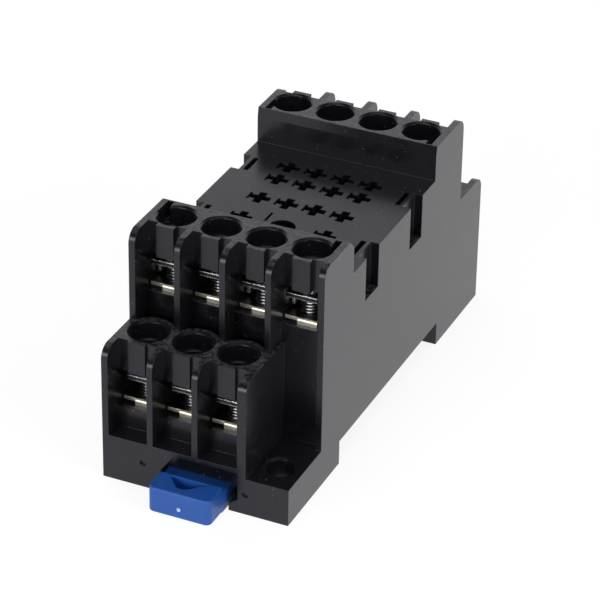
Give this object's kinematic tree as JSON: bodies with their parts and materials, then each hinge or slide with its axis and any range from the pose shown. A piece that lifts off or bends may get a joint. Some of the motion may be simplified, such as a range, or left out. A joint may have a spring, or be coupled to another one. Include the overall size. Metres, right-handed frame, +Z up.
{
  "type": "relay socket",
  "caption": "Stepped black socket that seats a plug-in relay on its deck, with screw terminals on two tiers at each end and a blue latch for a mounting rail.",
  "frame": {"origin": "centre of the overall bounding box at the mounting plane, latch included", "axes": "+X across the width, +Y away from the latch end along the length, +Z up from the mounting plane to the relay"},
  "size_m": [0.029, 0.0756, 0.0355],
  "materials": {
    "black_moulding": "satin",
    "blue_moulding": "satin",
    "plated_screw": "bright plated",
    "plated_clamp": "bright plated",
    "plated_contact": "bright plated",
    "spring_steel": "plain"
  },
  "bodies": {
    "socket": {"housing": "black_moulding", "base_cover": "black_moulding", "slider_spring": "spring_steel", "contact_front_upper_1": "plated_contact", "contact_front_upper_2": "plated_contact", "contact_front_upper_3": "plated_contact", "contact_front_upper_4": "plated_contact", "contact_front_lower_1": "plated_contact", "contact_front_lower_2": "plated_contact", "contact_front_lower_3": "plated_contact", "contact_back_upper_4": "plated_contact", "contact_back_upper_3": "plated_contact", "contact_back_upper_2": "plated_contact", "contact_back_upper_1": "plated_contact", "contact_back_lower_4": "plated_contact", "contact_back_lower_3": "plated_contact", "contact_back_lower_2": "plated_contact"},
    "rail_slider": {"rail_slider": "blue_moulding"},
    "clamp_front_upper_1": {"clamp_front_upper_1": "plated_clamp"},
    "screw_front_upper_1": {"screw_front_upper_1": "plated_screw"},
    "clamp_front_upper_2": {"clamp_front_upper_2": "plated_clamp"},
    "screw_front_upper_2": {"screw_front_upper_2": "plated_screw"},
    "clamp_front_upper_3": {"clamp_front_upper_3": "plated_clamp"},
    "screw_front_upper_3": {"screw_front_upper_3": "plated_screw"},
    "clamp_front_upper_4": {"clamp_front_upper_4": "plated_clamp"},
    "screw_front_upper_4": {"screw_front_upper_4": "plated_screw"},
    "clamp_front_lower_1": {"clamp_front_lower_1": "plated_clamp"},
    "screw_front_lower_1": {"screw_front_lower_1": "plated_screw"},
    "clamp_front_lower_2": {"clamp_front_lower_2": "plated_clamp"},
    "screw_front_lower_2": {"screw_front_lower_2": "plated_screw"},
    "clamp_front_lower_3": {"clamp_front_lower_3": "plated_clamp"},
    "screw_front_lower_3": {"screw_front_lower_3": "plated_screw"},
    "clamp_back_upper_4": {"clamp_back_upper_4": "plated_clamp"},
    "screw_back_upper_4": {"screw_back_upper_4": "plated_screw"},
    "clamp_back_upper_3": {"clamp_back_upper_3": "plated_clamp"},
    "screw_back_upper_3": {"screw_back_upper_3": "plated_screw"},
    "clamp_back_upper_2": {"clamp_back_upper_2": "plated_clamp"},
    "screw_back_upper_2": {"screw_back_upper_2": "plated_screw"},
    "clamp_back_upper_1": {"clamp_back_upper_1": "plated_clamp"},
    "screw_back_upper_1": {"screw_back_upper_1": "plated_screw"},
    "clamp_back_lower_4": {"clamp_back_lower_4": "plated_clamp"},
    "screw_back_lower_4": {"screw_back_lower_4": "plated_screw"},
    "clamp_back_lower_3": {"clamp_back_lower_3": "plated_clamp"},
    "screw_back_lower_3": {"screw_back_lower_3": "plated_screw"},
    "clamp_back_lower_2": {"clamp_back_lower_2": "plated_clamp"},
    "screw_back_lower_2": {"screw_back_lower_2": "plated_screw"}
  },
  "joints": [
    {"name": "rail_slide", "type": "slide", "parent": "socket", "child": "rail_slider", "axis": [0, -1, 0], "range_m": [0, 0.004], "stiffness_N_per_m": 400, "springref_m": -0.002, "deforming": ["slider_spring"]},
    {"name": "clamp_travel_front_upper_1", "type": "slide", "parent": "socket", "child": "clamp_front_upper_1", "axis": [0, 0, 1], "range_m": [-0.00295, 0]},
    {"name": "screw_turn_front_upper_1", "type": "hinge", "parent": "clamp_front_upper_1", "child": "screw_front_upper_1", "pos_m": [-0.01047, -0.01702, 0.0294], "axis": [0, 0, 1], "range_deg": [-2124, 0]},
    {"name": "clamp_travel_front_upper_2", "type": "slide", "parent": "socket", "child": "clamp_front_upper_2", "axis": [0, 0, 1], "range_m": [-0.00295, 0]},
    {"name": "screw_turn_front_upper_2", "type": "hinge", "parent": "clamp_front_upper_2", "child": "screw_front_upper_2", "pos_m": [-0.00349, -0.01702, 0.0294], "axis": [0, 0, 1], "range_deg": [-2124, 0]},
    {"name": "clamp_travel_front_upper_3", "type": "slide", "parent": "socket", "child": "clamp_front_upper_3", "axis": [0, 0, 1], "range_m": [-0.00295, 0]},
    {"name": "screw_turn_front_upper_3", "type": "hinge", "parent": "clamp_front_upper_3", "child": "screw_front_upper_3", "pos_m": [0.00349, -0.01702, 0.0294], "axis": [0, 0, 1], "range_deg": [-2124, 0]},
    {"name": "clamp_travel_front_upper_4", "type": "slide", "parent": "socket", "child": "clamp_front_upper_4", "axis": [0, 0, 1], "range_m": [-0.00295, 0]},
    {"name": "screw_turn_front_upper_4", "type": "hinge", "parent": "clamp_front_upper_4", "child": "screw_front_upper_4", "pos_m": [0.01047, -0.01702, 0.0294], "axis": [0, 0, 1], "range_deg": [-2124, 0]},
    {"name": "clamp_travel_front_lower_1", "type": "slide", "parent": "socket", "child": "clamp_front_lower_1", "axis": [0, 0, 1], "range_m": [-0.00295, 0]},
    {"name": "screw_turn_front_lower_1", "type": "hinge", "parent": "clamp_front_lower_1", "child": "screw_front_lower_1", "pos_m": [-0.01047, -0.02583, 0.0153], "axis": [0, 0, 1], "range_deg": [-2124, 0]},
    {"name": "clamp_travel_front_lower_2", "type": "slide", "parent": "socket", "child": "clamp_front_lower_2", "axis": [0, 0, 1], "range_m": [-0.00295, 0]},
    {"name": "screw_turn_front_lower_2", "type": "hinge", "parent": "clamp_front_lower_2", "child": "screw_front_lower_2", "pos_m": [-0.00349, -0.02583, 0.0153], "axis": [0, 0, 1], "range_deg": [-2124, 0]},
    {"name": "clamp_travel_front_lower_3", "type": "slide", "parent": "socket", "child": "clamp_front_lower_3", "axis": [0, 0, 1], "range_m": [-0.00295, 0]},
    {"name": "screw_turn_front_lower_3", "type": "hinge", "parent": "clamp_front_lower_3", "child": "screw_front_lower_3", "pos_m": [0.00349, -0.02583, 0.0153], "axis": [0, 0, 1], "range_deg": [-2124, 0]},
    {"name": "clamp_travel_back_upper_4", "type": "slide", "parent": "socket", "child": "clamp_back_upper_4", "axis": [0, 0, 1], "range_m": [-0.00295, 0]},
    {"name": "screw_turn_back_upper_4", "type": "hinge", "parent": "clamp_back_upper_4", "child": "screw_back_upper_4", "pos_m": [0.01047, 0.02208, 0.0294], "axis": [0, 0, 1], "range_deg": [-2124, 0]},
    {"name": "clamp_travel_back_upper_3", "type": "slide", "parent": "socket", "child": "clamp_back_upper_3", "axis": [0, 0, 1], "range_m": [-0.00295, 0]},
    {"name": "screw_turn_back_upper_3", "type": "hinge", "parent": "clamp_back_upper_3", "child": "screw_back_upper_3", "pos_m": [0.00349, 0.02208, 0.0294], "axis": [0, 0, 1], "range_deg": [-2124, 0]},
    {"name": "clamp_travel_back_upper_2", "type": "slide", "parent": "socket", "child": "clamp_back_upper_2", "axis": [0, 0, 1], "range_m": [-0.00295, 0]},
    {"name": "screw_turn_back_upper_2", "type": "hinge", "parent": "clamp_back_upper_2", "child": "screw_back_upper_2", "pos_m": [-0.00349, 0.02208, 0.0294], "axis": [0, 0, 1], "range_deg": [-2124, 0]},
    {"name": "clamp_travel_back_upper_1", "type": "slide", "parent": "socket", "child": "clamp_back_upper_1", "axis": [0, 0, 1], "range_m": [-0.00295, 0]},
    {"name": "screw_turn_back_upper_1", "type": "hinge", "parent": "clamp_back_upper_1", "child": "screw_back_upper_1", "pos_m": [-0.01047, 0.02208, 0.0294], "axis": [0, 0, 1], "range_deg": [-2124, 0]},
    {"name": "clamp_travel_back_lower_4", "type": "slide", "parent": "socket", "child": "clamp_back_lower_4", "axis": [0, 0, 1], "range_m": [-0.00295, 0]},
    {"name": "screw_turn_back_lower_4", "type": "hinge", "parent": "clamp_back_lower_4", "child": "screw_back_lower_4", "pos_m": [0.01047, 0.03087, 0.0153], "axis": [0, 0, 1], "range_deg": [-2124, 0]},
    {"name": "clamp_travel_back_lower_3", "type": "slide", "parent": "socket", "child": "clamp_back_lower_3", "axis": [0, 0, 1], "range_m": [-0.00295, 0]},
    {"name": "screw_turn_back_lower_3", "type": "hinge", "parent": "clamp_back_lower_3", "child": "screw_back_lower_3", "pos_m": [0.00349, 0.03087, 0.0153], "axis": [0, 0, 1], "range_deg": [-2124, 0]},
    {"name": "clamp_travel_back_lower_2", "type": "slide", "parent": "socket", "child": "clamp_back_lower_2", "axis": [0, 0, 1], "range_m": [-0.00295, 0]},
    {"name": "screw_turn_back_lower_2", "type": "hinge", "parent": "clamp_back_lower_2", "child": "screw_back_lower_2", "pos_m": [-0.00349, 0.03087, 0.0153], "axis": [0, 0, 1], "range_deg": [-2124, 0]}
  ],
  "couplings": [
    {"joint": "screw_turn_front_upper_1", "follows": "clamp_travel_front_upper_1", "rad_per_m": 12566},
    {"joint": "screw_turn_front_upper_2", "follows": "clamp_travel_front_upper_2", "rad_per_m": 12566},
    {"joint": "screw_turn_front_upper_3", "follows": "clamp_travel_front_upper_3", "rad_per_m": 12566},
    {"joint": "screw_turn_front_upper_4", "follows": "clamp_travel_front_upper_4", "rad_per_m": 12566},
    {"joint": "screw_turn_front_lower_1", "follows": "clamp_travel_front_lower_1", "rad_per_m": 12566},
    {"joint": "screw_turn_front_lower_2", "follows": "clamp_travel_front_lower_2", "rad_per_m": 12566},
    {"joint": "screw_turn_front_lower_3", "follows": "clamp_travel_front_lower_3", "rad_per_m": 12566},
    {"joint": "screw_turn_back_upper_4", "follows": "clamp_travel_back_upper_4", "rad_per_m": 12566},
    {"joint": "screw_turn_back_upper_3", "follows": "clamp_travel_back_upper_3", "rad_per_m": 12566},
    {"joint": "screw_turn_back_upper_2", "follows": "clamp_travel_back_upper_2", "rad_per_m": 12566},
    {"joint": "screw_turn_back_upper_1", "follows": "clamp_travel_back_upper_1", "rad_per_m": 12566},
    {"joint": "screw_turn_back_lower_4", "follows": "clamp_travel_back_lower_4", "rad_per_m": 12566},
    {"joint": "screw_turn_back_lower_3", "follows": "clamp_travel_back_lower_3", "rad_per_m": 12566},
    {"joint": "screw_turn_back_lower_2", "follows": "clamp_travel_back_lower_2", "rad_per_m": 12566}
  ]
}
